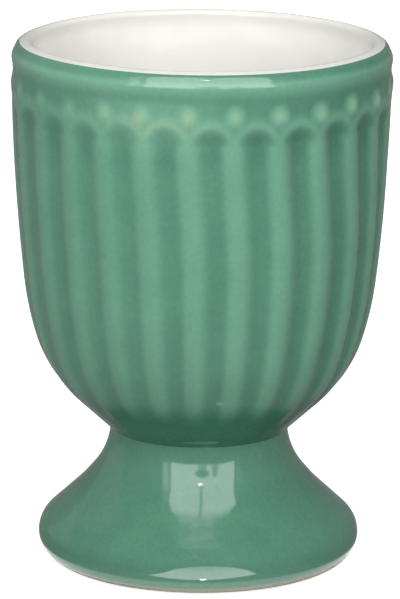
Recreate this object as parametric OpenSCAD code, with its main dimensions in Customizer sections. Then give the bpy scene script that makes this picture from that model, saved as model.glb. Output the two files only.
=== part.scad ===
// Egg cup of glazed stoneware: a fluted bowl luted to a flared, hollow foot.
// The origin is on the cup's axis, on the surface it stands on, and +Z is up.
// Every outline is a list of corners in radius and height, each corner with its own rounding radius.

/* [Overall] */
// Height from the table to the top of the lip
cup_h = 70; // [62:0.5:84]
// Outside diameter of the lip
lip_d = 50; // [44:0.5:60]
// Diameter of the waist, where the bowl sits on the foot
waist_d = 23.7; // [20:0.1:28.4]
// Height of the waist above the table
waist_h = 17.8; // [15:0.1:21.4]
// Greatest diameter of the foot
foot_d = 42.9; // [36:0.1:51]

/* [Bowl] */
// Thickness of the bowl's wall, glaze included
bowl_wall = 2.8; // [2.4:0.1:3.4]
// Thickness of the floor over the waist, glaze included
floor_t = 3.6; // [3:0.1:5]
// Rounding on the outside of the lip
lip_round = 1.8; // [1.4:0.1:2]
// Rounding at the bottom of the bowl's hollow
floor_round = 10; // [6:0.5:12]

/* [Foot] */
// Thickness of the foot's flared wall, glaze included
foot_wall = 3.6; // [3:0.1:4.4]
// Height where the flare starts above the rounded edge
edge_h = 4.95; // [4.4:0.05:6]
// Rounding on top of the foot's edge
edge_round = 3.8; // [2.6:0.1:4]
// Rounding from the foot's edge down to the table
heel_round = 3.3; // [2.6:0.1:3.6]
// Length of the neck below the waist, before the flare
neck_l = 4.5; // [3.8:0.1:5.4]
// How much wider the neck grows over its length
neck_flare = 0.6; // [0.3:0.05:1.2]
// Width of the bare ring that the cup stands on
ring_w = 2; // [1.6:0.1:2.6]
// Height of the ceiling of the hollow under the foot
recess_h = 12.6; // [10:0.1:13]
// Rounding at the ceiling of that hollow
recess_top_round = 3; // [2:0.5:4]
// Rounding where the hollow turns into the flare
recess_turn_round = 4; // [2:0.5:6]
// Rounding on the inside of the bare ring
ring_round = 0.6; // [0.3:0.1:0.9]

/* [Glaze] */
// Thickness of the glaze
glaze_t = 0.3; // [0.2:0.05:0.4]
// Angle round the lip where the white glaze meets the green one
colour_line_a = 62; // [40:1:70]
// Height of the bare clay above the table
bare_h = 0.6; // [0.4:0.1:1]

/* [Flutes and beads] */
// Number of flutes, arches and beads
flute_n = 26; // [20:1:30]
// Width of a flute at its mouth
flute_w = 3.4; // [3:0.1:3.8]
// Depth of a flute
flute_depth = 0.65; // [0.45:0.05:0.75]
// Depth of a flute where the wall turns into the shoulder
belly_depth = 0.75; // [0.5:0.05:0.85]
// How far the centre of each arch head lies below the top of the lip
arch_drop = 9.6; // [9:0.1:16]
// Radius of the raised arch crowns
crown_r = 3.4; // [3.2:0.1:3.6]
// Depth of the plain band round the rim, between the lip and the crowns
band_depth = 0.25; // [0.1:0.05:0.4]
// How far the upper edge of that band lies below the top of the lip
band_drop = 2.6; // [2.2:0.1:3.2]
// How far the row of beads lies below the top of the lip
bead_drop = 5.4; // [4.6:0.1:5.6]
// Radius of a bead
bead_r = 1.3; // [1.1:0.05:1.4]
// How far a bead's centre lies below the band
bead_sink = 0.85; // [0.75:0.05:0.95]
// Turn of the first flute from the side that faces -Y
flute_turn = 2.7; // [-7:0.1:7]

/* [Luted joint] */
// Thickness of the slip between bowl and foot
slip_t = 0.3; // [0.2:0.05:0.5]
// Diameter of the locating boss under the bowl
boss_d = 12; // [8:0.5:14]
// Depth of the locating boss
boss_l = 1.2; // [0.8:0.1:1.6]

/* [Hidden] */
lip_r = lip_d / 2;
mouth_r = lip_r - bowl_wall;
waist_r = waist_d / 2;
foot_r = foot_d / 2;
boss_r = boss_d / 2;
floor_h = waist_h + floor_t;
bowl_h = cup_h - waist_h;
arch_h = cup_h - arch_drop;
bead_h = cup_h - bead_drop;
band_top_h = cup_h - band_drop;
pitch_a = 360 / flute_n;
// Cuts run past the surface by this much
overrun = 1;
// The band flattens the crowns by this much
crown_flat = 0.05;
// The dips stay this far from the middle of the crowns
crown_gap = 0.3;
// Facets of the preview; the arcs themselves are true
turned_facets = 144;
arc_facets = 720;
small_facets = 48;

// Corners of the bowl's outside, from belly to rim: share of the overhang past the waist, share of the height
belly_shares = [0.645, 0.150];
shoulder_shares = [0.847, 0.320];
wall_shares = [1, 0.686];
// Share of the side between belly and shoulder that the shoulder's arc takes
shoulder_arc_share = 0.444;
// Share of the belly's turn that a flute reaches before it runs out
run_out_share = 0.45;

clay_colour = "#E6DFD0";
slip_colour = "#D9CFBC";
white_colour = "#F2EFE8";
green_colour = "#6FA98E";
pooled_colour = "#4E8A70";

// Vector helpers
function unit(v) = v / norm(v);
function left_of(v) = [-v.y, v.x];
function polar(radius, angle) = radius * [cos(angle), sin(angle)];

// Signed turn of a path at corner b: positive where it turns left
function turn_at(a, b, c) = let (u = b - a, v = c - b) atan2(u.x * v.y - u.y * v.x, u * v);

// Corner b after the side before it and the side after it move left by their own distances
function moved_corner(a, b, c, before, after) =
    let (m = left_of(unit(b - a)), n = left_of(unit(c - b)))
    b + [before * n.y - after * m.y, after * m.x - before * n.x] / (m.x * n.y - m.y * n.x);

// Centre of the arc that rounds corner b, and the two points where it leaves the sides
function tangent_l(a, b, c, radius) = radius * tan(abs(turn_at(a, b, c)) / 2);
function arc_start(a, b, c, radius) = b - tangent_l(a, b, c, radius) * unit(b - a);
function arc_end(a, b, c, radius) = b + tangent_l(a, b, c, radius) * unit(c - b);
function arc_centre(a, b, c, radius) =
    arc_start(a, b, c, radius) + sign(turn_at(a, b, c)) * radius * left_of(unit(b - a));

// What lies between a corner and the arc that rounds it
module corner_piece(a, b, c, radius) {
    centre = arc_centre(a, b, c, radius);
    difference() {
        polygon([arc_start(a, b, c, radius), b + overrun * unit(b - centre), arc_end(a, b, c, radius)]);
        translate(centre) circle(radius, $fn = arc_facets);
    }
}

// A closed outline, walked with its inside on the left. Each side moves inwards by its inset.
// A corner that turns right becomes a chord, and its circle is taken out of that.
module outline(corners, radii, insets) {
    count = len(corners);
    placed = [for (i = [0:count - 1])
        moved_corner(corners[(i + count - 1) % count], corners[i], corners[(i + 1) % count],
            insets[(i + count - 1) % count], insets[i])];
    turns = [for (i = [0:count - 1])
        turn_at(placed[(i + count - 1) % count], placed[i], placed[(i + 1) % count])];
    difference() {
        polygon([for (i = [0:count - 1])
            let (a = placed[(i + count - 1) % count], b = placed[i], c = placed[(i + 1) % count])
            each turns[i] < 0 && radii[i] > 0
                ? [arc_start(a, b, c, radii[i]), arc_end(a, b, c, radii[i])] : [b]]);
        for (i = [0:count - 1]) if (radii[i] > 0) {
            a = placed[(i + count - 1) % count];
            c = placed[(i + 1) % count];
            if (turns[i] > 0) corner_piece(a, placed[i], c, radii[i]);
            else translate(arc_centre(a, placed[i], c, radii[i])) circle(radii[i], $fn = arc_facets);
        }
    }
}

// Bowl, outside: four corners joined by three arcs that meet end to end
waist_p = [waist_r, waist_h];
function bowl_corner(shares) = [waist_r + shares[0] * (lip_r - waist_r), waist_h + shares[1] * bowl_h];
belly_p = bowl_corner(belly_shares);
shoulder_p = bowl_corner(shoulder_shares);
wall_p = bowl_corner(wall_shares);
lip_p = [lip_r, cup_h];
shoulder_l = shoulder_arc_share * norm(shoulder_p - belly_p);
belly_l = norm(shoulder_p - belly_p) - shoulder_l;
wall_l = norm(wall_p - shoulder_p) - shoulder_l;
belly_a = turn_at(waist_p, belly_p, shoulder_p);
shoulder_a = turn_at(belly_p, shoulder_p, wall_p);
wall_a = turn_at(shoulder_p, wall_p, lip_p);
belly_r = belly_l / tan(belly_a / 2);
shoulder_r = shoulder_l / tan(shoulder_a / 2);
wall_r = wall_l / tan(wall_a / 2);

module bowl_outside(inset) {
    outline([[0, waist_h], waist_p, belly_p, shoulder_p, wall_p, lip_p, [0, cup_h]],
        [0, 0, belly_r - inset, shoulder_r - inset, wall_r - inset, lip_round - inset, 0],
        [0, inset, inset, inset, inset, inset, 0]);
}

// Bowl, hollow: the same three arcs one wall further in, a rounded floor and a rounded mouth
cone_dir = unit(belly_p - waist_p);
inner_start_p = waist_p + bowl_wall * left_of(cone_dir);
floor_p = inner_start_p + cone_dir * (floor_h - inner_start_p.y) / cone_dir.y;
inner_belly_p = moved_corner(waist_p, belly_p, shoulder_p, bowl_wall, bowl_wall);
inner_shoulder_p = moved_corner(belly_p, shoulder_p, wall_p, bowl_wall, bowl_wall);
inner_wall_p = moved_corner(shoulder_p, wall_p, lip_p, bowl_wall, bowl_wall);
mouth_round = bowl_wall - lip_round;
floor_side_l = norm(inner_belly_p - floor_p) - (belly_r - bowl_wall) * tan(belly_a / 2);
floor_turn = turn_at([0, floor_h], floor_p, inner_belly_p);
floor_fit_share = 0.95;
floor_arc_r = min(floor_round, floor_fit_share * min(floor_side_l, floor_p.x) / tan(floor_turn / 2));

module bowl_hollow(grow) {
    ledge_r = lip_r - lip_round;
    outline([[0, floor_h], floor_p, inner_belly_p, inner_shoulder_p, inner_wall_p, [mouth_r, cup_h],
            [ledge_r, cup_h], [ledge_r, cup_h + overrun], [0, cup_h + overrun]],
        [0, floor_arc_r + grow, belly_r - bowl_wall + grow, shoulder_r - bowl_wall + grow,
            wall_r - bowl_wall + grow, mouth_round - grow, 0, 0, 0],
        [-grow, -grow, -grow, -grow, -grow, -grow, 0, 0, 0]);
}

// Foot, outside: a rounded edge, a straight flare and a sweep up into the neck
neck_p = [waist_r + neck_flare, waist_h - neck_l];
edge_p = [foot_r, edge_h];
sweep_turn = turn_at(edge_p, neck_p, waist_p);
sweep_r = norm(waist_p - neck_p) / tan(abs(sweep_turn) / 2);

module foot_outside(inset) {
    outline([[0, 0], [foot_r, 0], edge_p, neck_p, waist_p, [0, waist_h]],
        [0, heel_round - inset, edge_round - inset, sweep_r + inset, 0, 0],
        [0, inset, inset, inset, 0, 0]);
}

// Foot, hollow beneath: a short upright wall inside the ring, then parallel to the flare
flare_dir = unit(neck_p - edge_p);
flare_in_p = edge_p + foot_wall * left_of(flare_dir);
ring_in_r = foot_r - heel_round - ring_w;
recess_turn_p = flare_in_p + flare_dir * (ring_in_r - flare_in_p.x) / flare_dir.x;
recess_top_p = flare_in_p + flare_dir * (recess_h - flare_in_p.y) / flare_dir.y;

module foot_hollow(grow) {
    outline([[0, -overrun], [foot_r - heel_round, -overrun], [foot_r - heel_round, 0], [ring_in_r, 0],
            recess_turn_p, recess_top_p, [0, recess_h]],
        [0, 0, 0, ring_round, recess_turn_round + grow, recess_top_round + grow, 0],
        [0, 0, 0, -grow, -grow, -grow, 0]);
}

// Turns a flat outline into a solid of revolution
module turned() {
    rotate_extrude($fn = turned_facets) children();
}

// Places a copy for each flute, or half way between flutes, with the first one on the side that faces -Y
module around(half_steps) {
    for (i = [0:flute_n - 1]) rotate([0, 0, flute_turn - 90 + (i + half_steps / 2) * pitch_a]) children();
}

// A flute is cut by a round tool that swings along one arc: in at the arch head, out over the belly
tool_r = (pow(flute_w / 2, 2) + pow(flute_depth, 2)) / (2 * flute_depth);
wall_centre = arc_centre(shoulder_p, wall_p, lip_p, wall_r);
belly_centre = arc_centre(waist_p, belly_p, shoulder_p, belly_r);
head_a = asin((arch_h - wall_centre.y) / wall_r);
shoulder_low_a = -wall_a - shoulder_a;
head_p = wall_centre + polar(wall_r + tool_r - flute_depth, head_a);
deep_p = wall_centre + polar(wall_r + tool_r - belly_depth, -wall_a);
run_out_p = belly_centre + polar(belly_r + tool_r, shoulder_low_a - run_out_share * belly_a);

// Centre of the circle through three points
function centre_through(p, q, s) =
    let (u = q - p, v = s - p)
    p + [v.y * (u * u) - u.y * (v * v), u.x * (v * v) - v.x * (u * u)] / (2 * (u.x * v.y - u.y * v.x));
swing_centre = centre_through(head_p, deep_p, run_out_p);
swing_r = norm(head_p - swing_centre);
function swing_angle(p) = atan2(p.y - swing_centre.y, p.x - swing_centre.x);

module flute_tool(grow) {
    low_a = swing_angle(run_out_p) - (swing_angle(deep_p) - swing_angle(run_out_p)) / 2;
    translate([head_p.x, 0, head_p.y]) sphere(tool_r + grow, $fn = small_facets);
    translate([swing_centre.x, 0, swing_centre.y]) rotate([90, 0, 0]) rotate([0, 0, low_a])
        rotate_extrude(angle = swing_angle(head_p) - low_a, $fn = arc_facets)
            translate([swing_r, 0]) circle(tool_r + grow, $fn = small_facets);
}

// The plain band under the lip reaches down between the arch crowns, whose tops it just flattens
half_pitch = (lip_r - band_depth) * sin(pitch_a / 2);
function band_low(grow) = arch_h + crown_r - grow - crown_flat;

module rim_band(grow) {
    depth = band_depth + grow;
    intersection() {
        turned() translate([lip_r - depth, arch_h]) square([depth + overrun, band_top_h + grow - arch_h]);
        union() {
            turned() translate([0, band_low(grow)]) square([lip_d, cup_h - band_low(grow)]);
            around(1) spandrel(grow);
        }
    }
}

// The three-cornered dip between two crowns
module spandrel(grow) {
    half_w = half_pitch - crown_gap;
    translate([lip_r - bowl_wall, 0, 0]) rotate([90, 0, 90]) linear_extrude(bowl_wall + 2 * overrun)
        difference() {
            translate([-half_w, arch_h]) square([2 * half_w, band_low(grow) + crown_gap - arch_h]);
            for (side = [-1, 1]) translate([side * half_pitch, arch_h])
                circle(crown_r - grow, $fn = small_facets);
        }
}

// The bowl without its hollow: rounded lip, band and beads, all moved in by the inset
module beaded_bowl(inset) {
    difference() {
        turned() bowl_outside(inset);
        rim_band(inset);
    }
    around(1) translate([lip_r - band_depth - bead_sink, 0, bead_h]) rotate([0, 90, 0])
        sphere(bead_r - inset, $fn = small_facets);
}

// The part of the wall's thickness that belongs to the white glaze, up to the colour line on the lip
module white_zone() {
    centre = [lip_r - lip_round, cup_h - lip_round];
    reach = bowl_wall + overrun;
    bowl_hollow(bowl_wall / 2);
    polygon([centre, centre + polar(reach, colour_line_a), [centre.x, cup_h + reach],
        [mouth_r - reach, cup_h + reach], [mouth_r - reach, centre.y]]);
}

// The space that slip fills: all that lies within half its thickness of the joint face
module slip_space() {
    intersection() {
        union() {
            bowl_outside(glaze_t);
            foot_outside(glaze_t);
        }
        translate([0, waist_h - slip_t / 2]) square([waist_d, slip_t]);
    }
    translate([0, waist_h - slip_t / 2 - boss_l]) square([boss_r + slip_t, boss_l + slip_t / 2]);
}

module boss_outline() {
    translate([0, waist_h + slip_t / 2 - boss_l]) square([boss_r, boss_l + slip_t]);
}

// Fired clay of the bowl, with the boss that locates it on the foot
module bowl_body() {
    color(clay_colour) {
        difference() {
            beaded_bowl(glaze_t);
            around(0) flute_tool(glaze_t);
            turned() bowl_hollow(glaze_t);
            turned() translate([0, waist_h - overrun]) square([waist_d, overrun + slip_t / 2]);
        }
        turned() boss_outline();
    }
}

// Fired clay of the foot, with the socket for the boss and a bare ring to stand on
module foot_body() {
    color(clay_colour) turned() difference() {
        foot_outside(glaze_t);
        foot_hollow(glaze_t);
        slip_space();
    }
}

// Clay slip that joins the two, round the boss and over the whole joint face
module slip_joint() {
    color(slip_colour) turned() difference() {
        slip_space();
        boss_outline();
    }
}

// White glaze over the hollow and the top of the lip
module white_inner_glaze() {
    color(white_colour) turned() intersection() {
        difference() {
            bowl_outside(0);
            bowl_hollow(0);
            difference() {
                bowl_outside(glaze_t);
                bowl_hollow(glaze_t);
            }
        }
        white_zone();
    }
}

// Green glaze over the rim band, the beads, the crowns and the ridges, where it lies thin and pale
module green_bowl_glaze() {
    color(green_colour) difference() {
        beaded_bowl(0);
        beaded_bowl(glaze_t);
        around(0) flute_tool(glaze_t);
        turned() white_zone();
    }
}

// Green glaze that pooled in the flutes, where it is darker
module pooled_flute_glaze() {
    color(pooled_colour) around(0) difference() {
        intersection() {
            flute_tool(glaze_t);
            turned() bowl_outside(0);
        }
        flute_tool(0);
    }
}

// Green glaze over the outside of the foot, stopping above the bare ring
module green_foot_glaze() {
    color(green_colour) turned() difference() {
        foot_outside(0);
        foot_outside(glaze_t);
        square([foot_d, bare_h]);
    }
}

// Green glaze inside the hollow of the foot
module green_recess_glaze() {
    color(green_colour) turned() difference() {
        foot_hollow(glaze_t);
        foot_hollow(0);
        translate([0, -overrun]) square([foot_d, overrun + bare_h]);
    }
}

bowl_body();
foot_body();
slip_joint();
white_inner_glaze();
green_bowl_glaze();
pooled_flute_glaze();
green_foot_glaze();
green_recess_glaze();
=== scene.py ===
import bpy
import numpy as np
from mathutils import Matrix, Vector


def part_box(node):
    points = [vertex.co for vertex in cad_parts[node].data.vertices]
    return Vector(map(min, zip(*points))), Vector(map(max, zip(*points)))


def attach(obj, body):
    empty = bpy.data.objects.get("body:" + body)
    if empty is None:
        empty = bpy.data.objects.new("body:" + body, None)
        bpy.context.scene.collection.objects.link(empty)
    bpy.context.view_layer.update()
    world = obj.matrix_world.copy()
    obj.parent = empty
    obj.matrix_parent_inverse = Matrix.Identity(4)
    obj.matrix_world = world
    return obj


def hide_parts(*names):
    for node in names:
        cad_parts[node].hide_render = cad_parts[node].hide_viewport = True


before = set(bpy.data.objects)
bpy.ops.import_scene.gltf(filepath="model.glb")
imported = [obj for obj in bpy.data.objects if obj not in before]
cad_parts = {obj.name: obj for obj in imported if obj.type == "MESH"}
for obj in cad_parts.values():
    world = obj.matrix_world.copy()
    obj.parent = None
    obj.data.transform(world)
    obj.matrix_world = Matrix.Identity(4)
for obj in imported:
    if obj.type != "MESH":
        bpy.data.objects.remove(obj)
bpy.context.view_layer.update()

mm = 0.001
turn = 2 * np.pi


def nodeTop(node):
    return np.array(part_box(node)[1]) / mm


def nodeFoot(node):
    return np.array(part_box(node)[0]) / mm


glaze = {
    "thickness": 0.3,
    "colourLine": 62,          # degrees round the lip where green meets white
    "edgeRoll": 0.5,           # how far from the bare ring the glaze reaches its full thickness
}
bowl = {
    "lipRadius": 25.0,
    "wall": 2.8,
    "lipRound": 2.0,
    "mouthRound": 0.8,
    "lipDrop": 0.7,            # how far the outer corner of the lip lies below the rim's height
    "lipRise": 0.3,            # how far the inner corner lies above it, before it is rounded off
    "floorRound": 10.0,
    # the wall's corners, as shares of the overhang and of the bowl's height, and the arcs that round them
    "corners": [(0.645, 0.150), (0.847, 0.320), (1.0, 0.686)],
    "rounds": [18.6, 43.5, 262.0],
    "bossRadius": 6.0,
}
foot = {
    "waistRadius": 11.85,
    "creaseRound": 0.9,        # the crease between bowl and foot
    "neckFlare": 0.46,         # how much wider the neck is at its lower end
    "neckLength": 3.45,
    "neckRound": 10.3,
    "flareSlope": 42.85,       # degrees
    "flareLength": 7.72,
    "flareRound": 20.0,
    "edgeHeight": 4.95,
    "edgeRound": 3.8,
    "heelRound": 3.3,
    "ringWidth": 2.0,          # the bare ring it stands on
    "ringRound": 0.6,
    "wall": 3.6,
    "recessTopRound": 3.0,
    "recessTurnRound": 4.0,
}

bowlHeight = nodeTop("white_inner_glaze")[2]
waistHeight = nodeTop("green_foot_glaze")[2]
footRadius = nodeTop("green_foot_glaze")[0]
bareHeight = nodeFoot("green_foot_glaze")[2]
floorHeight = nodeFoot("white_inner_glaze")[2] + glaze["thickness"]
recessHeight = nodeTop("green_recess_glaze")[2] - glaze["thickness"]
jointHeight = nodeTop("slip_joint")[2]
slipBottom = nodeFoot("slip_joint")[2]


# Outlines
def leftOf(v):
    return np.array([-v[1], v[0]])


def unit(v):
    return v / np.linalg.norm(v)


def movedCorner(before, corner, after, distance):
    # The corner of the same two sides after both have moved to their left by the distance
    m, n = leftOf(unit(corner - before)), leftOf(unit(after - corner))
    return corner + distance * (m + n) / (1 + m @ n)


def roundedPath(corners, radii, spacing=0.02):
    # A path through the corners, where a corner with a radius becomes the arc that touches its two sides.
    # It comes back as evenly spaced points, with normals to the right of the walk, which point outwards.
    corners = [np.array(c, float) for c in corners]
    points = [corners[0]]
    for before, corner, after, radius in zip(corners, corners[1:], corners[2:], radii):
        if radius == 0:
            points.append(corner)
            continue
        u, v = unit(corner - before), unit(after - corner)
        angle = np.arctan2(u[0] * v[1] - u[1] * v[0], u @ v)
        centre = corner - u * radius * np.tan(abs(angle) / 2) + np.sign(angle) * radius * leftOf(u)
        first = -np.sign(angle) * radius * leftOf(u)
        swing = np.linspace(0, angle, max(3, int(abs(angle) * radius / spacing)))
        cos, sin = np.cos(swing), np.sin(swing)
        arc = np.stack([first[0] * cos - first[1] * sin, first[0] * sin + first[1] * cos], 1)
        points.extend(centre + arc)
    points.append(corners[-1])
    points = np.array(points)
    length = np.concatenate([[0], np.cumsum(np.linalg.norm(np.diff(points, axis=0), axis=1))])
    stops = np.arange(0, length[-1], spacing)
    path = np.stack([np.interp(stops, length, points[:, k]) for k in (0, 1)], 1)
    tangent = np.gradient(path, axis=0)
    tangent /= np.linalg.norm(tangent, axis=1)[:, None]
    return {"stops": stops, "points": path, "normals": np.stack([tangent[:, 1], -tangent[:, 0]], 1)}


def pathAt(path, stops):
    points = np.stack([np.interp(stops, path["stops"], path["points"][:, k]) for k in (0, 1)], 1)
    normals = np.stack([np.interp(stops, path["stops"], path["normals"][:, k]) for k in (0, 1)], 1)
    return points, normals / np.linalg.norm(normals, axis=1)[:, None]


def stopsBetween(path, start, end, spacing):
    # Stops whose local distance is what spacing() says for each radius and height
    inside = (path["stops"] >= start) & (path["stops"] <= end)
    s = path["stops"][inside]
    points = path["points"][inside]
    count = np.concatenate([[0], np.cumsum(np.diff(s) / spacing(points[1:, 0], points[1:, 1]))])
    rows = int(np.ceil(count[-1]))
    return np.interp(np.linspace(0, count[-1], rows + 1), count, s)


def firstStop(path, test):
    return path["stops"][np.argmax(test(path["points"], path["normals"]))]


waist = np.array([foot["waistRadius"], waistHeight])
overhang = np.array([bowl["lipRadius"] - foot["waistRadius"], bowlHeight - waistHeight])
bowlCorners = [waist + np.array(share) * overhang for share in bowl["corners"]]
lipCorner = np.array([bowl["lipRadius"], bowlHeight - bowl["lipDrop"]])
mouthCorner = np.array([bowl["lipRadius"] - bowl["wall"], bowlHeight + bowl["lipRise"]])
outsideCorners = [waist, *bowlCorners, lipCorner]
insideCorners = [movedCorner(*three, bowl["wall"])
                 for three in zip(outsideCorners, bowlCorners, outsideCorners[2:])]
coneSide = unit(bowlCorners[0] - waist)
floorCorner = insideCorners[0] - coneSide * (insideCorners[0][1] - floorHeight) / coneSide[1]
neckCorner = np.array([foot["waistRadius"] + foot["neckFlare"], waistHeight - foot["neckLength"]])
edgeCorner = np.array([footRadius, foot["edgeHeight"]])
flareSide = np.array([-np.cos(np.radians(foot["flareSlope"])), np.sin(np.radians(foot["flareSlope"]))])
flareCorner = edgeCorner + foot["flareLength"] * flareSide
ringRadius = footRadius - foot["heelRound"] - foot["ringWidth"]
ringEdge = ringRadius + foot["ringWidth"]

# From the bare ring out round the foot, up the bowl, over the lip and down to the middle of the floor
innerRounds = [r - bowl["wall"] for r in bowl["rounds"]]
shell = roundedPath(
    [(ringRadius, 0), (footRadius, 0), edgeCorner, flareCorner, neckCorner, waist, *bowlCorners,
     lipCorner, mouthCorner, *insideCorners[::-1], floorCorner, (0, floorHeight)],
    [foot["heelRound"], foot["edgeRound"], foot["flareRound"], foot["neckRound"], foot["creaseRound"],
     *bowl["rounds"], bowl["lipRound"], bowl["mouthRound"], *innerRounds[::-1], bowl["floorRound"]])

flareInside = edgeCorner + foot["wall"] * leftOf(flareSide)
recessTurn = flareInside + flareSide * (ringRadius - flareInside[0]) / flareSide[0]
recessCorner = flareInside + flareSide * (recessHeight - flareInside[1]) / flareSide[1]
# From the middle of the ceiling under the foot out to the ring
recess = roundedPath(
    [(0, recessHeight), recessCorner, recessTurn, (ringRadius, 0), (ringEdge, 0)],
    [foot["recessTopRound"], foot["recessTurnRound"], foot["ringRound"]])

bareStop = firstStop(shell, lambda p, n: (p[:, 1] >= bareHeight) & (p[:, 0] > ringEdge))
creaseStop = shell["stops"][np.argmin(np.linalg.norm(shell["points"] - waist, axis=1))]
colourStop = firstStop(shell, lambda p, n: (p[:, 1] > bowlHeight - bowl["lipRound"])
                       & (n[:, 1] >= np.sin(np.radians(glaze["colourLine"]))))
floorStop = shell["stops"][-1]
recessEnd = firstStop(recess, lambda p, n: p[:, 1] < bareHeight)
print("outlines drawn")


# The moulded pattern
def smooth(low, high, x):
    # 0 up to low, 1 from high on, and an even S between them
    t = np.clip((x - low) / (high - low), 0, 1)
    return t * t * (3 - 2 * t)


def bell(x, width):
    # 1 at 0, falling off to both sides over about the width
    return np.exp(-(x / width) ** 2)


def raisedCosine(x):
    # 1 at 0, down to 0 at 1, level at both ends
    return 0.5 + 0.5 * np.cos(np.pi * x)


def nearSide(theta, degrees, tightness):
    # 1 at one side of the cup, falling off round it, the sooner the greater the tightness
    return np.exp(tightness * (np.cos(theta - np.radians(degrees)) - 1))


# A side is degrees to the right of the viewer's side, and heights are the ends of a gradual change
flutes = {
    "count": 26,
    "turn": 2.7,               # degrees from the viewer's side to the middle of the first flute
    "lean": 2.4,               # degrees that the flutes drift to the right on their way down
    "leanHeights": (42.0, 62.0),
    "spread": 2.7,             # degrees that the flutes at both sides drift apart on their way down
    "spreadSides": [(58.0, 1.0), (-58.0, -0.8)],      # side, share of the spread
    "squeeze": 2.9,            # degrees that the flutes on the left are pushed together
    "squeezeSide": -55.0,
    "sideTightness": 8.8,
    "depths": [(17.8, 0.0), (20, 0.04), (24, 0.22), (32, 0.44), (46, 0.46), (58, 0.5)],   # height, depth
    "grooveSharpness": 0.95,
    "archHeight": 60.4,        # centres of the round heads
    "crownReach": 3.0,         # from there to the top of a crown
    "melt": 0.25,              # how softly two crowns run together, in crown reaches
    "filled": 0.4,             # how much of the pattern the glaze fills at its softest side
    "filledSide": (-55.0, 10.0),                      # side, tightness
    "crisp": 0.35,             # how much deeper the pattern shows at its sharpest side
    "crispSide": (45.0, 6.0),
    "unevenDepth": 0.10,       # handmade differences from one flute to the next
    "unevenArch": 0.15,
    "seed": 11,
}
rim = {
    "bandDepth": 0.16,         # how far the plain band lies inside the crowns and the rolled rim
    "bandReach": (1.0, 1.5),   # where the band begins over a crown, in crown reaches
    "bandEase": 1.0,           # how far above and below the centres of the arches it comes in
    "rollHeight": 67.7,        # where the rolled rim stands out most
    "rollWidth": 0.75,
    "bandEnd": (0.9, 1.9),     # how far above the roll the band ends
}
beads = {
    "height": 64.1,
    "radius": 1.85,
    "rise": 0.3,
    "fullness": 0.7,           # below 1 makes a bead rounder than a plain raised cosine
    "uneven": 0.14,            # handmade differences in place, and in rise as a share
    "unevenRise": 0.15,
    "flattened": 0.75,         # how much of its rise a bead loses where the beads are lowest
    "flattenedSide": -50.0,
    "flattenedWidth": 24.0,    # degrees
}

pitch = turn / flutes["count"]
handmade = np.random.default_rng(flutes["seed"])
depthChange = 1 + flutes["unevenDepth"] * handmade.standard_normal(flutes["count"])
archChange = flutes["unevenArch"] * handmade.standard_normal(flutes["count"])
beadTurn = beads["uneven"] * handmade.standard_normal(flutes["count"])
beadLift = beads["uneven"] * handmade.standard_normal(flutes["count"])
beadRise = beads["rise"] * (1 + beads["unevenRise"] * handmade.standard_normal(flutes["count"]))
beadAngle = np.degrees((np.arange(flutes["count"]) + 0.5) * pitch) + flutes["turn"]
fromFlattened = (beadAngle - beads["flattenedSide"] + 180) % 360 - 180
beadRise = beadRise * (1 - beads["flattened"] * bell(fromFlattened, beads["flattenedWidth"]))


def patternTurn(theta, z):
    # The angle that the pattern's own count of flutes sees at a place. The flutes lean and spread out on
    # their way down, and are squeezed on the left.
    low = 1 - smooth(*flutes["leanHeights"], z)
    lean = np.radians(flutes["lean"]) * low
    for side, share in flutes["spreadSides"]:
        near = nearSide(theta, side, flutes["sideTightness"])
        lean = lean + np.radians(flutes["spread"]) * share * low * near
    near = nearSide(theta, flutes["squeezeSide"], flutes["sideTightness"])
    return theta - np.radians(flutes["turn"]) - lean - np.radians(flutes["squeeze"]) * near


def fluteAt(w, z):
    # The flute that a place belongs to, and the distance from its middle line, where 1 is the ridge. The
    # line ends at the centre of the arch, so the groove ends in a round head with a crown round it.
    nearest = np.round(w)
    flute = nearest.astype(int) % flutes["count"]
    across = np.abs(w - nearest) * 2
    over = np.maximum(z - flutes["archHeight"] - archChange[flute], 0) / flutes["crownReach"]
    own, other = np.hypot(across, over), np.hypot(2 - across, over)
    # where two arches meet, the nearer distance takes over smoothly
    blend = np.clip(0.5 + (other - own) / (2 * flutes["melt"]), 0, 1)
    melted = flutes["melt"] * blend * (1 - blend) * (over > 0)
    return flute, own * blend + other * (1 - blend) - melted


def beadAt(w, r, z):
    # The bead over the nearest ridge, how far across that ridge a place is, from -0.5 to 0.5, and the
    # bead's dome there, a raised cosine of the distance from its middle
    ridge = np.floor(w)
    bead = ridge.astype(int) % flutes["count"]
    side = w - ridge - 0.5
    across = side * 2 * (pitch / 2 * r) - beadTurn[bead]
    away = np.hypot(across, z - beads["height"] - beadLift[bead]) / beads["radius"]
    return bead, side, raisedCosine(np.clip(away, 0, 1)) ** beads["fullness"]


def bandAt(reach, z):
    # 1 on the plain band over the crowns, and 0 on the crowns, the ridges and the rolled rim
    arch, roll, ease = flutes["archHeight"], rim["rollHeight"], rim["bandEase"]
    band = smooth(*rim["bandReach"], reach) * smooth(arch - ease, arch + ease, z)
    low, high = rim["bandEnd"]
    return band * (1 - bell(z - roll, rim["rollWidth"])) * (1 - smooth(roll + low, roll + high, z))


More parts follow.
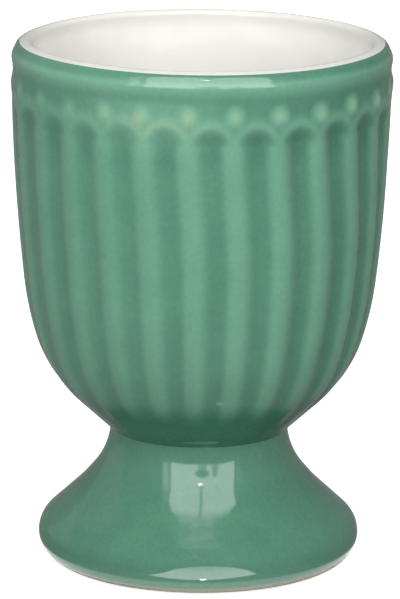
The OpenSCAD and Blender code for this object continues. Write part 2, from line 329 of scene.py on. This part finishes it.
# How thickly a glaze lies, from 0 to 1, with painted light and shade added in places. On the bowl it
# is thick in grooves and thin on what stands out.
evenCoat = 0.8
greenCoatAndShade = {
    "groove": 0.65,
    "ridge": 0.34,
    "ridgeHeights": (21, 25.5),
    "stripe": (-0.38, -0.14, 0.06, 0.42),   # across a ridge: where it thins, is thin, and thickens again; its sharp left edge is painted shade
    "crown": 0.85,             # how much of a ridge's thinness a crown has
    "crownPlace": (0.95, 0.25),             # its radius and its width, in crown reaches
    "crownHeights": (-0.5, 1.0),            # over the centres of the arches
    "crownTop": 0.05,          # how much thinner it is again on top of the crowns
    "crownTopHeights": (1.2, 2.4),
    "faintSide": (-38.0, 5.0),              # where ridges and grooves differ least
    "faintMean": 0.3,          # and what the stripes are drawn towards there
    "low": 0.86,               # painted shade on the bowl's underside, down to the crease
    "underShadeHeights": (22.2, 25.2),
    "arch": 0.1,               # painted shade: how much darker the grooves' round heads are, under the crowns
    "archShadeHeights": (-4.0, -0.5),            # over the centres of the arches
    "roll": 0.30,              # how much thinner it lies on the rolled rim
    "rollBelow": (1.6, 0.2),
    "edge": 0.3,               # and how much thicker again where it meets the white
    "edgeAbove": (0.5, 1.6),
    "thick": 0.13,             # painted shade: how much darker the coat is on one side
    "shadedSide": (62.0, 5.0),
    "thin": 0.22,              # how much paler it is round the arches and beads near the front
    "thinSide": (-14.0, 16.0),
    "thinFrom": (57.5, 62.5),
    "thinTo": (65.6, 66.8),
    "bead": 0.05,
    "beadShare": 0.85,         # how nearly the middle of a bead reaches that
}


def greenPoolAndShade(theta, z, side, reach, groove, dome, filled):
    # The thin stripe on a ridge has painted light on its right flank and painted shade on its left, so
    # it starts sharply and fades to the right. Over the arches' centres the crown takes the stripe's
    # place.
    layer, roll, overArch = greenCoatAndShade, rim["rollHeight"], z - flutes["archHeight"]
    start, full, fade, end = layer["stripe"]
    stripe = smooth(start, full, side) * (1 - smooth(fade, end, side))
    middle, width = layer["crownPlace"]
    crown = layer["crown"] * bell(reach - middle, width)
    stripe = stripe + (crown - stripe) * smooth(*layer["crownHeights"], overArch)
    # painted shade on the bowl's underside
    base = layer["groove"] + (layer["low"] - layer["groove"]) * (1 - smooth(*layer["underShadeHeights"], z))
    faint = 1 - flutes["filled"] * nearSide(theta, *layer["faintSide"])
    drawn = layer["faintMean"] + (stripe - layer["faintMean"]) * faint
    pooled = base - (layer["groove"] - layer["ridge"]) * drawn * smooth(*layer["ridgeHeights"], z)
    pooled = pooled - layer["crownTop"] * stripe * smooth(*layer["crownTopHeights"], overArch)
    # painted shade in the grooves' round heads
    pooled = pooled + layer["arch"] * groove * smooth(*layer["archShadeHeights"], overArch)
    low, high = layer["rollBelow"]
    pooled = pooled - layer["roll"] * smooth(roll - low, roll - high, z)
    low, high = layer["edgeAbove"]
    pooled = pooled + layer["edge"] * smooth(roll + low, roll + high, z)
    # painted shade darkens one side
    pooled = pooled + layer["thick"] * nearSide(theta, *layer["shadedSide"])
    thin = layer["thin"] * nearSide(theta, *layer["thinSide"])
    pooled = pooled - thin * smooth(*layer["thinFrom"], z) * (1 - smooth(*layer["thinTo"], z))
    return pooled + (layer["bead"] - pooled) * dome * layer["beadShare"] * filled


def moulding(theta, r, z):
    # Height of the pattern over the plain wall, and how thickly the glaze lies there, with painted light
    # and shade. A flute's section is a raised cosine of the distance from its middle line, and the glaze
    # fills it more on the left.
    w = patternTurn(theta, z) / pitch
    flute, reach = fluteAt(w, z)
    bead, side, dome = beadAt(w, r, z)
    groove = raisedCosine(np.clip(reach, 0, 1) ** flutes["grooveSharpness"])
    filled = 1 - flutes["filled"] * nearSide(theta, *flutes["filledSide"])
    crisp = 1 + flutes["crisp"] * nearSide(theta, *flutes["crispSide"])
    depth = np.interp(z, *zip(*flutes["depths"])) * depthChange[flute] * filled * crisp
    height = -depth * groove - rim["bandDepth"] * bandAt(reach, z) + dome * beadRise[bead]
    return height, np.clip(greenPoolAndShade(theta, z, side, reach, groove, dome, filled), 0, 1)


def plain(theta, r, z):
    # No pattern, under an even coat
    return np.zeros_like(theta + z), np.full_like(theta + z, evenCoat)


footCoatThickness = {
    "coat": 0.75,
    "edge": 0.4,               # how much thinner it is at the bare ring
    "edgeAbove": (0.3, 3.2),
    "neck": 0.1,               # how much thinner it is at the neck
    "neckHeights": (11.0, 15.0),
}


def footCoat(theta, r, z):
    # An even coat, thinner towards the bare ring and a little at the neck
    layer = footCoatThickness
    low, high = layer["edgeAbove"]
    pooled = layer["coat"] - layer["edge"] * (1 - smooth(bareHeight + low, bareHeight + high, z))
    pooled = pooled - layer["neck"] * smooth(*layer["neckHeights"], z)
    return np.zeros_like(theta + z), pooled + 0 * theta


whiteLayerAndShade = {
    # painted shade greys the white lower in the bowl, and painted light brightens it just under the rim
    "shadedLow": 0.5,
    "full": 1.0,
    "shadeBelow": (9.0, 3.0),   # how far below the rim it goes from the painted shade to the painted light
    "lip": 0.55,
    "lipBelow": (2.4, 0.4),
}


def whiteCoatAndShade(theta, r, z):
    # Thin over the lip, with painted light just inside it and painted shade a little further down
    layer = whiteLayerAndShade
    low, high = layer["shadeBelow"]
    more = layer["full"] - layer["shadedLow"]
    thick = layer["shadedLow"] + more * smooth(bowlHeight - low, bowlHeight - high, z)
    low, high = layer["lipBelow"]
    thick = thick + (layer["lip"] - thick) * smooth(bowlHeight - low, bowlHeight - high, z)
    return np.zeros_like(theta + z), thick + 0 * theta


outOfRound = {
    # how far, how many times round, where it starts, and the height that turns it by a radian
    "waves": [(0.04, 2, 0.7, 40), (0.02, 3, 0.0, -17), (0.01, 7, 0.0, 6)],
    "inwards": 0.07,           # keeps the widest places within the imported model
    "axisRadius": 3.0,         # nearer to the axis than this it fades out
}


def wobble(theta, z):
    # Out of round by a few hundredths, slowly changing with height, as a fired pot is: a sum of cosines
    waves = [far * np.cos(times * theta + start + z / rise)
             for far, times, start, rise in outOfRound["waves"]]
    return sum(waves) - outOfRound["inwards"]


# Surfaces
fineness = {
    "bowlColumns": flutes["count"] * 20,
    "plainColumns": 312,
    "hiddenColumns": flutes["count"] * 8,
    "bowlRows": 0.78,          # distances between rings
    "archRows": 0.2,
    "lipRows": 0.17,
    "archFrom": (57.5, 59),
    "archTo": (67.5, 68.5),
    "lipFrom": (67.8, 68.3),
    "whiteRows": 0.7,
    "whiteLipCloser": 0.5,     # how much closer they lie at the lip
    "whiteLipFrom": (67.5, 69),
    "footRows": 0.4,
    "recessRows": 0.5,
    "bossRows": 0.6,
    "outerBack": (2.5, 0.2),   # rings on a coat's back lie so many times as far apart, and so much more
    "innerBack": (2, 0),
    "insideRows": 1.0,
    "axisGap": 0.3,            # rings stop this short of the axis, where a pole closes them
    "creaseGap": 0.4,          # how far above the crease the bowl's clay begins
    "colourGap": 0.2,          # between the last ring of clay outside and the first inside
    "sharpEdge": 50,           # degrees between faces from which an edge is drawn sharp
}


def ringGrid(path, stops, columns, lift=0.0, pattern=plain):
    # Each stop of the path is a ring round the axis: the path's point, moved along its normal by the lift
    # and by the pattern's height at that angle
    points, normals = pathAt(path, stops)
    theta = np.linspace(0, turn, columns, endpoint=False)[None, :]
    r, z = points[:, :1], points[:, 1:]
    height, pooled = pattern(theta + 0 * r, r, z + 0 * theta)
    uneven = wobble(theta, z) * smooth(0, outOfRound["axisRadius"], r)
    move = np.asarray(lift).reshape(-1, 1) + height + uneven
    radius, up = r + normals[:, :1] * move, z + normals[:, 1:] * move
    return np.stack([radius * np.sin(theta), -radius * np.cos(theta), up], 2) * mm, pooled


def pieceFromRings(name, parts, poles=None):
    # The parts are grids of rings, each with how thickly the glaze lies and the shade painted into it.
    # Rings run upwards on an outside and their points run round, so the faces point outwards. The last
    # ring joins the first, or each end closes on its pole.
    grid, depth = (np.concatenate(side) for side in zip(*parts))
    rows, columns = grid.shape[:2]
    i = np.arange(rows if poles is None else rows - 1)[:, None]
    j = np.arange(columns)[None, :]
    below, above = i * columns, (i + 1) % rows * columns
    right = (j + 1) % columns
    quads = np.stack([below + j, below + right, above + right, above + j], 2).reshape(-1, 4)
    vertices, faces, depth = grid.reshape(-1, 3), quads.tolist(), depth.reshape(-1)
    if poles is not None:
        first, last, j, right = rows * columns, rows * columns + 1, j[0], right[0]
        top = (rows - 1) * columns
        faces += np.stack([np.full(columns, first), right, j], 1).tolist()
        faces += np.stack([top + j, top + right, np.full(columns, last)], 1).tolist()
        vertices = np.concatenate([vertices, np.array([[0, 0, pole] for pole in poles]) * mm])
        depth = np.concatenate([depth, [evenCoat] * 2])
    mesh = bpy.data.meshes.new(name)
    mesh.from_pydata(vertices.tolist(), [], faces)
    glazeDepthAndShade = mesh.attributes.new("glazeDepthAndShade", "FLOAT", "POINT")
    glazeDepthAndShade.data.foreach_set("value", depth.astype(np.float32))
    mesh.polygons.foreach_set("use_smooth", np.ones(len(mesh.polygons), bool))
    mesh.set_sharp_from_angle(angle=np.radians(fineness["sharpEdge"]))
    piece = bpy.data.objects.new(name, mesh)
    bpy.context.scene.collection.objects.link(piece)
    print(f"{name}: {sum(len(f) - 2 for f in faces)} triangles")
    return piece


def finishPiece(piece, nodes, material):
    piece.data.materials.append(material)
    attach(piece, "root")
    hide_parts(*nodes)


# Materials
def srgb(hexCode):
    # The colour's linear values, from its hex code
    c = np.array([int(hexCode[k:k + 2], 16) for k in (1, 3, 5)]) / 255
    return (*np.where(c <= 0.04045, c / 12.92, ((c + 0.055) / 1.055) ** 2.4), 1.0)


def addNode(tree, kind, inputs=None, **settings):
    # Adds a node with its own settings, and gives each named input a value or a link from another node
    node = tree.nodes.new(kind)
    for key, value in settings.items():
        setattr(node, key, value)
    for key, value in (inputs or {}).items():
        if isinstance(value, bpy.types.NodeSocket):
            tree.links.new(value, node.inputs[key])
        else:
            node.inputs[key].default_value = value
    return node


def newMaterial(name):
    material = bpy.data.materials.new(name)
    material.use_nodes = True
    material.node_tree.nodes.clear()
    return material, material.node_tree


def surfaceFrom(tree, look, shade, relief):
    # The last nodes of a fired surface: the shade picks its colour and the relief bumps it
    ramp = addNode(tree, "ShaderNodeValToRGB", {"Fac": shade})
    elements = ramp.color_ramp.elements
    while len(elements) < len(look["colours"]):
        elements.new(0.5)
    for element, (position, colour) in zip(elements, look["colours"]):
        element.position = position
        element.color = srgb(colour)
    bump = addNode(tree, "ShaderNodeBump", {
        "Height": relief, "Distance": look["relief"] * mm, "Strength": look["reliefStrength"]})
    shader = addNode(tree, "ShaderNodeBsdfPrincipled", {
        "Base Color": ramp.outputs["Color"], "Normal": bump.outputs["Normal"],
        "Roughness": look["roughness"], "IOR": look["ior"]})
    addNode(tree, "ShaderNodeOutputMaterial", {"Surface": shader.outputs["BSDF"]})


def firedGlaze(name, look):
    # A glaze whose colour follows how thickly it lies and the light and shade painted into that, mottled
    # by soft noise, on a surface that ripples
    material, tree = newMaterial(name)
    place = addNode(tree, "ShaderNodeTexCoord").outputs["Object"]
    shade = addNode(tree, "ShaderNodeAttribute", attribute_name="glazeDepthAndShade").outputs["Fac"]
    for width, detail, amount in look["mottles"]:
        noise = {"Vector": place, "Scale": 1 / (width * mm), "Detail": detail}
        mottle = addNode(tree, "ShaderNodeTexNoise", noise).outputs["Fac"]
        mixed = {0: mottle, 1: amount, 2: shade}
        shade = addNode(tree, "ShaderNodeMath", mixed, operation="MULTIPLY_ADD").outputs[0]
    # noise is 0.5 on average, so half of all that was added comes off again
    added = sum(amount for width, detail, amount in look["mottles"])
    shade = addNode(tree, "ShaderNodeMath", {0: shade, 1: added / 2}, operation="SUBTRACT").outputs[0]
    noise = {"Vector": place, "Scale": 1 / (look["ripple"] * mm), "Detail": 1.0}
    ripples = addNode(tree, "ShaderNodeTexNoise", noise).outputs["Fac"]
    surfaceFrom(tree, look, shade, ripples)
    return material


# Semi-opaque coloured glaze, fired glossy: sharp reflections, and a colour that deepens with thickness
greenGlazeLook = {
    # thin over ridges, beads and edges, where the pale clay shows through, to thick where it pooled,
    # and darker where shade is painted
    "colours": [(0.0, "#A3BC8E"), (0.12, "#8DB392"), (0.3, "#72A68D"), (0.6, "#5A8E77"),
                (0.86, "#427560"), (1.0, "#356350")],
    "mottles": [(4.5, 3.0, 0.16), (0.55, 2.0, 0.16)],      # width of a blotch, detail, how strong it is
    "ripple": 2.6,             # width and depth of the surface's ripples
    "relief": 0.02,
    "reliefStrength": 1.0,
    "roughness": 0.09,
    "ior": 1.6,
}
# Opaque tin-white glaze, fired glossy: warm white, with soft reflections of the wall opposite
whiteGlazeLook = {
    # thin over the lip, where the clay greys it, to thick inside, and greyer where shade is painted
    "colours": [(0.0, "#D6D6CE"), (0.5, "#E0DFD9"), (0.85, "#EBE9E3"), (1.0, "#F4F3EE")],
    "mottles": [(9.0, 2.0, 0.5)],
    "ripple": 3.5,
    "relief": 0.02,
    "reliefStrength": 1.0,
    "roughness": 0.2,
    "ior": 1.52,
}
# Bisque-fired stoneware clay, unglazed: dry, warm off-white, with a fine sandy grain
clayLook = {
    "colours": [(0.35, "#C6B79E"), (0.65, "#DDD2BF")],
    "grain": 0.35,             # coarser than the sand in the clay, so that it shows at all
    "relief": 0.05,
    "reliefStrength": 0.8,
    "roughness": 0.85,
    "ior": 1.5,
}


def firedClay():
    material, tree = newMaterial("fired stoneware clay")
    place = addNode(tree, "ShaderNodeTexCoord").outputs["Object"]
    noise = {"Vector": place, "Scale": 1 / (clayLook["grain"] * mm), "Detail": 4.0, "Roughness": 0.7}
    grains = addNode(tree, "ShaderNodeTexNoise", noise).outputs["Fac"]
    surfaceFrom(tree, clayLook, grains, grains)
    return material


green = firedGlaze("green celadon glaze", greenGlazeLook)
white = firedGlaze("warm white glaze", whiteGlazeLook)
clay = firedClay()
print("materials made")


# Pieces
def bowlSpacing(r, z):
    # Rings lie close together at the arches and beads, and closest at the lip
    rows = fineness["bowlRows"]
    arches = smooth(*fineness["archFrom"], z) * (1 - smooth(*fineness["archTo"], z))
    lip = smooth(*fineness["lipFrom"], z)
    return rows + (fineness["archRows"] - rows) * arches + (fineness["lipRows"] - rows) * lip


def whiteSpacing(r, z):
    return fineness["whiteRows"] - fineness["whiteLipCloser"] * smooth(*fineness["whiteLipFrom"], z)


def evenSpacing(kind):
    return lambda r, z: fineness[kind] + 0 * z


def coat(path, start, end, columns, spacing, patterns, backRows, rolledAt=None):
    # The face of a coat of glaze, from start to end of the path, and its back, one thickness deeper and
    # walked the other way. At a rolled edge the coat thins to nothing in a quarter circle.
    times, more = backRows
    face = stopsBetween(path, start, end, spacing)
    back = stopsBetween(path, start, end, lambda r, z: times * spacing(r, z) + more)[::-1]
    lift = np.zeros(len(face))
    if rolledAt is not None:
        near = np.clip(np.abs(face - rolledAt) / glaze["edgeRoll"], 0, 1)
        lift = glaze["thickness"] * (np.sqrt(1 - (1 - near) ** 2) - 1)
    return [ringGrid(path, face, columns, lift, patterns[0]),
            ringGrid(path, back, columns, -glaze["thickness"], patterns[1])]


def greenBowlGlaze():
    parts = coat(shell, creaseStop, colourStop, fineness["bowlColumns"], bowlSpacing,
                 (moulding, moulding), fineness["outerBack"])
    piece = pieceFromRings("greenBowlGlaze", parts)
    finishPiece(piece, ["green_bowl_glaze", "pooled_flute_glaze"], green)


def greenFootGlaze():
    parts = coat(shell, bareStop, creaseStop, fineness["plainColumns"], evenSpacing("footRows"),
                 (footCoat, footCoat), fineness["outerBack"], bareStop)
    piece = pieceFromRings("greenFootGlaze", parts)
    finishPiece(piece, ["green_foot_glaze"], green)


def whiteInnerGlaze():
    face, back = coat(shell, colourStop, floorStop - fineness["axisGap"], fineness["plainColumns"],
                      whiteSpacing, (whiteCoatAndShade, plain), fineness["innerBack"])
    poles = (floorHeight - glaze["thickness"], floorHeight)
    piece = pieceFromRings("whiteInnerGlaze", [back, face], poles)
    finishPiece(piece, ["white_inner_glaze"], white)


def greenRecessGlaze():
    parts = coat(recess, fineness["axisGap"], recessEnd, fineness["plainColumns"],
                 evenSpacing("recessRows"), (plain, plain), fineness["innerBack"], recessEnd)
    piece = pieceFromRings("greenRecessGlaze", parts, (recessHeight, recessHeight + glaze["thickness"]))
    finishPiece(piece, ["green_recess_glaze"], green)


def bowlClay():
    # One closed skin: under the boss, along the joint, up behind the green glaze and down behind the white
    face = foot["waistRadius"] - glaze["thickness"]
    boss = roundedPath([(fineness["axisGap"], slipBottom), (bowl["bossRadius"], slipBottom),
                        (bowl["bossRadius"], jointHeight), (face, jointHeight)], [0, 0])
    under = stopsBetween(boss, 0, boss["stops"][-1], evenSpacing("bossRows"))
    outside = stopsBetween(shell, creaseStop + fineness["creaseGap"], colourStop, bowlSpacing)
    inside = stopsBetween(shell, colourStop + fineness["colourGap"], floorStop - fineness["axisGap"],
                          evenSpacing("insideRows"))
    columns = fineness["hiddenColumns"]
    parts = [ringGrid(boss, under, columns),
             ringGrid(shell, outside, columns, -glaze["thickness"], moulding),
             ringGrid(shell, inside, columns, -glaze["thickness"])]
    piece = pieceFromRings("bowlClay", parts, (slipBottom, floorHeight - glaze["thickness"]))
    finishPiece(piece, ["bowl_body"], clay)


greenBowlGlaze()
greenFootGlaze()
whiteInnerGlaze()
greenRecessGlaze()
bowlClay()
for node in ("foot_body", "slip_joint"):
    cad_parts[node].data.materials.clear()
    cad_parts[node].data.materials.append(clay)
print("pieces made")


# Studio
window = {
    "distance": 500.0,
    "sides": (-0.98, 1.14),            # in window distances, across
    "heights": (0.36, 4.2),            # in window distances, above the foot
    "brightness": 3.1,
    "layerGap": 4,                     # from one card to the next in front of it
}
# What the glaze mirrors: outlines of the window's panes and of dark shapes in front of it, as across and
# height in window distances, each with its brightness low down and at its top
mirrored = {
    "pane": ([(-0.70, 0.38), (1.0, 0.38), (1.08, 1.24), (1.48, 2.84), (1.7, 4.5), (1.2, 4.8), (-0.7, 4.8),
              (-1.1, 4.2), (-0.98, 2.46), (-0.76, 1.11)], 3.8, 0.6),
    "leftPane": ([(-0.98, 0.42), (-0.79, 0.42), (-0.84, 1.2), (-1.08, 2.6), (-1.42, 2.6), (-1.08, 1.2)],
                 2.0, 1.0),
    "rightPane": ([(1.1, 0.5), (1.25, 0.5), (1.75, 2.6), (1.55, 2.6)], 0.9, 0.9),
    "stem": ([(0.0, 0.38), (0.16, 0.38), (0.16, 0.56), (0.0, 0.56)], 1.3, 1.3),
    "knob": ([(-0.03, 0.53), (0.2, 0.53), (0.24, 0.62), (0.2, 0.73), (0.09, 0.79), (-0.02, 0.73),
              (-0.07, 0.62)], 0.45, 0.45),
    "latch": ([(0.30, 0.38), (0.44, 0.38), (0.43, 0.78), (0.33, 0.78)], 1.3, 1.3),
    "bar": ([(0.05, 1.2), (0.12, 1.2), (0.2, 4.4), (0.09, 4.4)], 1.2, 0.9),
    "lamp": ([(0.03, 1.03), (0.09, 1.03), (0.09, 1.09), (0.03, 1.09)], 60.0, 60.0),
}
cardFade = 0.6                         # share of a card's height at which its brightness starts to change
fill = {"place": (-600.0, 0.0, 300.0), "size": 500.0, "brightness": 0.5}


def areaLight(name, place, width, height, brightness):
    # brightness is what a camera would see of the light's face, where 1 is white
    data = bpy.data.lights.new(name, "AREA")
    data.shape = "RECTANGLE"
    data.size, data.size_y = width * mm, height * mm
    data.energy = brightness * np.pi * data.size * data.size_y
    light = bpy.data.objects.new(name, data)
    light.location = np.array(place) * mm
    light.rotation_euler = (np.pi / 2, 0, 0)
    light.visible_camera = light.visible_glossy = False
    bpy.context.scene.collection.objects.link(light)
    return light


def reflectionCard(name, corners, faces, brightness, topBrightness=None):
    # A card that only reflections show. Its brightness can change towards the top.
    mesh = bpy.data.meshes.new(name)
    mesh.from_pydata((np.array(corners) * mm).tolist(), [], faces)
    card = bpy.data.objects.new(name, mesh)
    bpy.context.scene.collection.objects.link(card)
    material, tree = newMaterial(name)
    strength = brightness
    if topBrightness is not None:
        place = addNode(tree, "ShaderNodeTexCoord").outputs["Object"]
        height = addNode(tree, "ShaderNodeSeparateXYZ", {"Vector": place}).outputs["Z"]
        top = max(corner[2] for corner in corners) * mm
        change = {"Value": height, "From Min": top * cardFade, "From Max": top,
                  "To Min": brightness, "To Max": topBrightness}
        strength = addNode(tree, "ShaderNodeMapRange", change).outputs[0]
    glow = addNode(tree, "ShaderNodeEmission", {"Color": (1, 1, 1, 1), "Strength": strength})
    addNode(tree, "ShaderNodeOutputMaterial", {"Surface": glow.outputs[0]})
    mesh.materials.append(material)
    card.visible_camera = card.visible_diffuse = card.visible_transmission = card.visible_shadow = False


def windowLight():
    d = window["distance"]
    left, right = (d * side for side in window["sides"])
    low, high = (d * height for height in window["heights"])
    middle = ((left + right) / 2, -d, (low + high) / 2)
    areaLight("window", middle, right - left, high - low, window["brightness"])
    for layer, (name, (outline, brightness, topBrightness)) in enumerate(mirrored.items()):
        corners = [(x * d, window["layerGap"] * layer - d, z * d) for x, z in outline]
        reflectionCard(name, corners, [tuple(range(len(corners)))], brightness, topBrightness)
    # a soft fill from the left
    side = areaLight("fill", fill["place"], fill["size"], fill["size"], fill["brightness"])
    side.rotation_euler = (np.pi / 2, 0, -np.pi / 2)


darkRoom = {
    "inside": 22.5,                    # radius of the hole in its floor, where the cup stands
    "outside": 900.0,
    "floor": 0.2,
    "height": 2600.0,
    "lampHole": 1.0,                   # radius of the hole in its ceiling
    "sides": 48,
    "brightness": 0.24,
    "paleWall": ((-780.0, 180.0), (-560.0, 640.0), 0.5, 1200.0, 0.42),   # two ends, foot, top, brightness
}


def ringsOf(rings, angle):
    # For the radius and height of each ring, its points at those angles
    points = [np.stack([r * np.sin(angle), -r * np.cos(angle), z + 0 * angle], 1) for r, z in rings]
    return np.concatenate(points)


def darkRoomCard():
    # The dim room that the glaze mirrors round the window: floor, round wall and ceiling, and a paler wall
    room = darkRoom
    sides = room["sides"]
    rings = [(room["inside"], room["floor"]), (room["outside"], room["floor"]),
             (room["outside"], room["height"]), (room["lampHole"], room["height"])]
    corners = ringsOf(rings, np.linspace(0, turn, sides, endpoint=False))
    i, j = np.arange(3)[:, None] * sides, np.arange(sides)[None, :]
    right = (j + 1) % sides
    faces = np.stack([i + j, i + right, i + right + sides, i + j + sides], 2).reshape(-1, 4).tolist()
    reflectionCard("darkRoom", corners, faces, room["brightness"])
    near, far, low, high, brightness = room["paleWall"]
    corners = [(*near, low), (*far, low), (*far, high), (*near, high)]
    reflectionCard("paleWall", corners, [(0, 1, 2, 3)], brightness, room["brightness"])


heelLight = {
    "distance": 23.5,
    # the top edge of the lit strip, from left to right: across, height
    "top": [(-8.7, 0.9), (-6.5, 2.2), (-3.7, 4.1), (-1.1, 4.9), (2.0, 5.2), (5.5, 4.8), (8.5, 3.6),
            (10.1, 2.0), (11.0, 1.0)],
    "low": 0.75,
    "brightness": 4.3,
    "topBrightness": 2.6,
    "spark": (0.4, 1.4, 0.8, 1.2, 40.0),       # left, right, low, high, brightness
    "sparkGap": 0.1,                           # between the strip and the spark in front of it
    "shield": ((20.45, 8.8), (27.5, 5.4)),     # radius, height
    "shieldReach": 65.0,                       # degrees
    "shieldPoints": 14,
}


def heelCards():
    # A lit strip low in front of the foot, a spark on it, and a shield that keeps the window off the heel
    top = heelLight["top"]
    y, low = -heelLight["distance"], heelLight["low"]
    corners = [(top[0][0], y, low), (top[-1][0], y, low)] + [(x, y, z) for x, z in top[::-1]]
    reflectionCard("heelStrip", corners, [tuple(range(len(corners)))], heelLight["brightness"],
                   heelLight["topBrightness"])
    left, right, low, high, brightness = heelLight["spark"]
    y = y + heelLight["sparkGap"]
    corners = [(left, y, low), (right, y, low), (right, y, high), (left, y, high)]
    reflectionCard("heelSpark", corners, [(0, 1, 2, 3)], brightness)
    reach, count = heelLight["shieldReach"], heelLight["shieldPoints"]
    corners = ringsOf(heelLight["shield"], np.radians(np.linspace(-reach, reach, count)))
    j = np.arange(count - 1)
    faces = np.stack([j, j + 1, j + 1 + count, j + count], 1).tolist()
    reflectionCard("heelShield", corners, faces, darkRoom["brightness"])


def seenRay(tree):
    # 1 for a ray from the camera or from a reflection, 0 for light that falls on the object
    rays = addNode(tree, "ShaderNodeLightPath").outputs
    seen = rays["Is Camera Ray"]
    for kind in ("Is Glossy Ray", "Is Transmission Ray"):
        seen = addNode(tree, "ShaderNodeMath", {0: seen, 1: rays[kind]}, operation="MAXIMUM").outputs[0]
    return seen


worldFill = 0.24                       # strength of the world's light on the object


def pageWhiteWorld():
    world = bpy.data.worlds.new("pageWhite")
    bpy.context.scene.world = world
    world.use_nodes = True
    tree = world.node_tree
    tree.nodes.clear()
    mixed = {0: seenRay(tree), 1: 1 - worldFill, 2: worldFill}
    strength = addNode(tree, "ShaderNodeMath", mixed, operation="MULTIPLY_ADD").outputs[0]
    light = addNode(tree, "ShaderNodeBackground", {"Color": (1, 1, 1, 1), "Strength": strength})
    addNode(tree, "ShaderNodeOutputWorld", {"Surface": light.outputs[0]})


floorLook = {
    "size": 4000,
    "paper": "#C0C0C0",
    "near": 0.85,                      # glow beside the cup, which rises to 1 further out
    "nearTo": 50.0,
    "farFrom": 300.0,
}


def paleFloor():
    corners = np.array([[-1, -1, 0], [1, -1, 0], [1, 1, 0], [-1, 1, 0]]) * floorLook["size"] * mm
    mesh = bpy.data.meshes.new("floor")
    mesh.from_pydata(corners.tolist(), [], [(0, 1, 2, 3)])
    floor = bpy.data.objects.new("floor", mesh)
    bpy.context.scene.collection.objects.link(floor)
    material, tree = newMaterial("white paper")
    place = addNode(tree, "ShaderNodeTexCoord").outputs["Object"]
    distance = addNode(tree, "ShaderNodeVectorMath", {0: place}, operation="LENGTH").outputs["Value"]
    change = {"Value": distance, "To Min": floorLook["near"], "To Max": 1.0,
              "From Min": floorLook["nearTo"] * mm, "From Max": floorLook["farFrom"] * mm}
    glowing = addNode(tree, "ShaderNodeMapRange", change).outputs[0]
    seen = {0: glowing, 1: seenRay(tree)}
    strength = addNode(tree, "ShaderNodeMath", seen, operation="MULTIPLY").outputs[0]
    paper = addNode(tree, "ShaderNodeBsdfDiffuse", {"Color": srgb(floorLook["paper"])})
    glow = addNode(tree, "ShaderNodeEmission", {"Color": (1, 1, 1, 1), "Strength": strength})
    both = addNode(tree, "ShaderNodeAddShader", {0: paper.outputs[0], 1: glow.outputs[0]})
    addNode(tree, "ShaderNodeOutputMaterial", {"Surface": both.outputs[0]})
    mesh.materials.append(material)


windowLight()
darkRoomCard()
heelCards()
pageWhiteWorld()
paleFloor()

photo = {
    "distance": 608.7,
    "elevation": 13.652,               # degrees
    "roll": 0.5,                       # degrees
    "aimHeight": 33.0,
    "focal": 4591.0,                   # in pixels of the frame, as the next two are
    "height": 599,
    "aimBelowMiddle": 13.8,
    "clip": (0.01, 20),                # metres
}


def photoCamera():
    data = bpy.data.cameras.new("camera")
    data.sensor_width = 36
    data.lens = photo["focal"] * data.sensor_width / photo["height"]
    data.shift_y = photo["aimBelowMiddle"] / photo["height"]
    data.clip_start, data.clip_end = photo["clip"]
    camera = bpy.data.objects.new("camera", data)
    e, roll = np.radians(photo["elevation"]), np.radians(photo["roll"])
    back = np.array([0, -np.cos(e), np.sin(e)])
    right, up = np.array([1.0, 0, 0]), np.array([0, np.sin(e), np.cos(e)])
    axes = [right * np.cos(roll) + up * np.sin(roll), up * np.cos(roll) - right * np.sin(roll), back]
    matrix = Matrix([[*column] for column in np.array(axes).T]).to_4x4()
    matrix.translation = Vector((np.array([0, 0, photo["aimHeight"]]) + back * photo["distance"]) * mm)
    camera.matrix_world = matrix
    bpy.context.scene.collection.objects.link(camera)
    bpy.context.scene.camera = camera


photoCamera()
bpy.context.scene.view_settings.view_transform = "Standard"
print("studio set")
